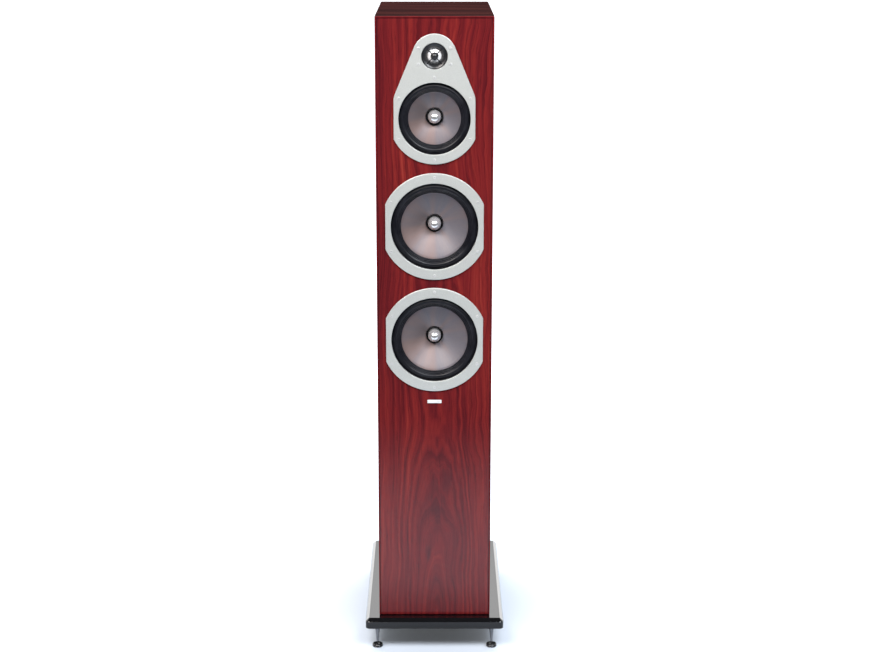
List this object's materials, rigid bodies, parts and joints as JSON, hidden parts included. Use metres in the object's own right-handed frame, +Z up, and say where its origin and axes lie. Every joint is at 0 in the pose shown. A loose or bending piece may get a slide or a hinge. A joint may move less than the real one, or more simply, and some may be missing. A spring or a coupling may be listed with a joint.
{
  "type": "floorstanding speaker",
  "caption": "Tall slim floorstanding loudspeaker with round drivers in silver flanges, red-brown veneer cabinet, black plinth and adjustable spiked feet.",
  "frame": {"origin": "on the floor, under the centre of the plinth", "axes": "+Z up, the front baffle faces -Y, +X is to the right seen from the front"},
  "size_m": [0.262, 0.408, 1.193],
  "materials": {
    "veneer": "red-brown stained wood veneer with vertical grain under clear gloss lacquer",
    "veneer_top": "the same veneer in a darker brown on the top",
    "fibreboard": "raw medium-density fibreboard",
    "plinth_lacquer": "black high-gloss lacquer on board",
    "silver_paint": "fine satin silver paint on cast aluminium",
    "black_moulding": "black satin moulding",
    "black_plastic": "matt black moulding",
    "red_plastic": "translucent-looking red moulding",
    "dome_metal": "thin drawn metal dome, bright satin",
    "cone": "grey-mauve woven fibre composite with a metallic sheen",
    "surround_rubber": "black ribbed rubber, satin",
    "spider_cloth": "resin-treated corrugated cloth",
    "copper_wire": "copper winding on an aluminium former",
    "plated_steel": "zinc-plated turned steel",
    "ferrite": "ground ferrite magnet",
    "polished_aluminium": "polished turned aluminium",
    "badge_metal": "satin aluminium bar",
    "chrome": "mirror chrome plate",
    "foot_disc": "gloss black disc with a bright turned rim",
    "brass": "gold-plated brass",
    "circuit_board": "glass-fibre circuit board with coils and capacitors"
  },
  "bodies": {
    "cabinet": {"front_baffle": "veneer", "left_side_panel": "veneer", "right_side_panel": "veneer", "top_panel": "veneer_top", "rear_panel": "veneer", "bottom_panel": "fibreboard", "midrange_shelf": "fibreboard", "upper_brace": "fibreboard", "lower_brace": "fibreboard", "plinth": "plinth_lacquer", "tweeter_midrange_plate": "silver_paint", "tweeter_waveguide": "black_moulding", "tweeter_motor": "ferrite", "badge_bar": "badge_metal", "rear_port": "black_plastic", "terminal_cup": "black_plastic", "crossover_board": "circuit_board", "upper_woofer_basket": "silver_paint", "upper_woofer_surround": "surround_rubber", "upper_woofer_spider": "spider_cloth", "upper_woofer_top_plate": "plated_steel", "upper_woofer_magnet": "ferrite", "upper_woofer_yoke": "plated_steel", "upper_woofer_phase_plug": "polished_aluminium", "lower_woofer_basket": "silver_paint", "lower_woofer_surround": "surround_rubber", "lower_woofer_spider": "spider_cloth", "lower_woofer_top_plate": "plated_steel", "lower_woofer_magnet": "ferrite", "lower_woofer_yoke": "plated_steel", "lower_woofer_phase_plug": "polished_aluminium", "midrange_basket": "black_moulding", "midrange_surround": "surround_rubber", "midrange_spider": "spider_cloth", "midrange_top_plate": "plated_steel", "midrange_magnet": "ferrite", "midrange_yoke": "plated_steel", "midrange_phase_plug": "polished_aluminium", "left_terminal_stud": "brass", "right_terminal_stud": "brass"},
    "upper_woofer_moving_part": {"upper_woofer_cone": "cone", "upper_woofer_voice_coil": "copper_wire"},
    "lower_woofer_moving_part": {"lower_woofer_cone": "cone", "lower_woofer_voice_coil": "copper_wire"},
    "midrange_moving_part": {"midrange_cone": "cone", "midrange_voice_coil": "copper_wire"},
    "tweeter_moving_part": {"tweeter_dome": "dome_metal"},
    "front_left_disc_body": {"front_left_foot_disc": "foot_disc"},
    "front_left_spike_body": {"front_left_spike": "chrome"},
    "front_right_disc_body": {"front_right_foot_disc": "foot_disc"},
    "front_right_spike_body": {"front_right_spike": "chrome"},
    "rear_left_disc_body": {"rear_left_foot_disc": "foot_disc"},
    "rear_left_spike_body": {"rear_left_spike": "chrome"},
    "rear_right_disc_body": {"rear_right_foot_disc": "foot_disc"},
    "rear_right_spike_body": {"rear_right_spike": "chrome"},
    "left_washer_body": {"left_clamp_washer": "brass"},
    "left_knob_body": {"left_terminal_knob": "black_plastic"},
    "right_washer_body": {"right_clamp_washer": "brass"},
    "right_knob_body": {"right_terminal_knob": "red_plastic"}
  },
  "joints": [
    {"name": "upper_woofer_travel", "type": "slide", "parent": "cabinet", "child": "upper_woofer_moving_part", "axis": [0, -1, 0], "range_m": [-0.006, 0.006], "stiffness_N_per_m": 1000, "deforming": ["upper_woofer_surround", "upper_woofer_spider"]},
    {"name": "lower_woofer_travel", "type": "slide", "parent": "cabinet", "child": "lower_woofer_moving_part", "axis": [0, -1, 0], "range_m": [-0.006, 0.006], "stiffness_N_per_m": 1000, "deforming": ["lower_woofer_surround", "lower_woofer_spider"]},
    {"name": "midrange_travel", "type": "slide", "parent": "cabinet", "child": "midrange_moving_part", "axis": [0, -1, 0], "range_m": [-0.003, 0.003], "stiffness_N_per_m": 1200, "deforming": ["midrange_surround", "midrange_spider"]},
    {"name": "tweeter_travel", "type": "slide", "parent": "cabinet", "child": "tweeter_moving_part", "axis": [0, -1, 0], "range_m": [-0.0005, 0.0005], "stiffness_N_per_m": 400},
    {"name": "front_left_foot_travel", "type": "slide", "parent": "cabinet", "child": "front_left_disc_body", "axis": [0, 0, -1], "range_m": [0, 0.01]},
    {"name": "front_left_spike_turn", "type": "hinge", "parent": "front_left_disc_body", "child": "front_left_spike_body", "pos_m": [-0.109, -0.182, 0.03], "axis": [0, 0, -1], "range_deg": [0, 2880]},
    {"name": "front_right_foot_travel", "type": "slide", "parent": "cabinet", "child": "front_right_disc_body", "axis": [0, 0, -1], "range_m": [0, 0.01]},
    {"name": "front_right_spike_turn", "type": "hinge", "parent": "front_right_disc_body", "child": "front_right_spike_body", "pos_m": [0.109, -0.182, 0.03], "axis": [0, 0, -1], "range_deg": [0, 2880]},
    {"name": "rear_left_foot_travel", "type": "slide", "parent": "cabinet", "child": "rear_left_disc_body", "axis": [0, 0, -1], "range_m": [0, 0.01]},
    {"name": "rear_left_spike_turn", "type": "hinge", "parent": "rear_left_disc_body", "child": "rear_left_spike_body", "pos_m": [-0.109, 0.182, 0.03], "axis": [0, 0, -1], "range_deg": [0, 2880]},
    {"name": "rear_right_foot_travel", "type": "slide", "parent": "cabinet", "child": "rear_right_disc_body", "axis": [0, 0, -1], "range_m": [0, 0.01]},
    {"name": "rear_right_spike_turn", "type": "hinge", "parent": "rear_right_disc_body", "child": "rear_right_spike_body", "pos_m": [0.109, 0.182, 0.03], "axis": [0, 0, -1], "range_deg": [0, 2880]},
    {"name": "left_washer_travel", "type": "slide", "parent": "cabinet", "child": "left_washer_body", "axis": [0, 1, 0], "range_m": [0, 0.004]},
    {"name": "left_knob_turn", "type": "hinge", "parent": "left_washer_body", "child": "left_knob_body", "pos_m": [-0.019, 0.177, 0.19], "axis": [0, 1, 0], "range_deg": [0, 1440]},
    {"name": "right_washer_travel", "type": "slide", "parent": "cabinet", "child": "right_washer_body", "axis": [0, 1, 0], "range_m": [0, 0.004]},
    {"name": "right_knob_turn", "type": "hinge", "parent": "right_washer_body", "child": "right_knob_body", "pos_m": [0.019, 0.177, 0.19], "axis": [0, 1, 0], "range_deg": [0, 1440]}
  ],
  "couplings": [
    {"joint": "front_left_spike_turn", "follows": "front_left_foot_travel", "rad_per_m": 5026.5},
    {"joint": "front_right_spike_turn", "follows": "front_right_foot_travel", "rad_per_m": 5026.5},
    {"joint": "rear_left_spike_turn", "follows": "rear_left_foot_travel", "rad_per_m": 5026.5},
    {"joint": "rear_right_spike_turn", "follows": "rear_right_foot_travel", "rad_per_m": 5026.5},
    {"joint": "left_knob_turn", "follows": "left_washer_travel", "rad_per_m": 6283.2},
    {"joint": "right_knob_turn", "follows": "right_washer_travel", "rad_per_m": 6283.2}
  ]
}
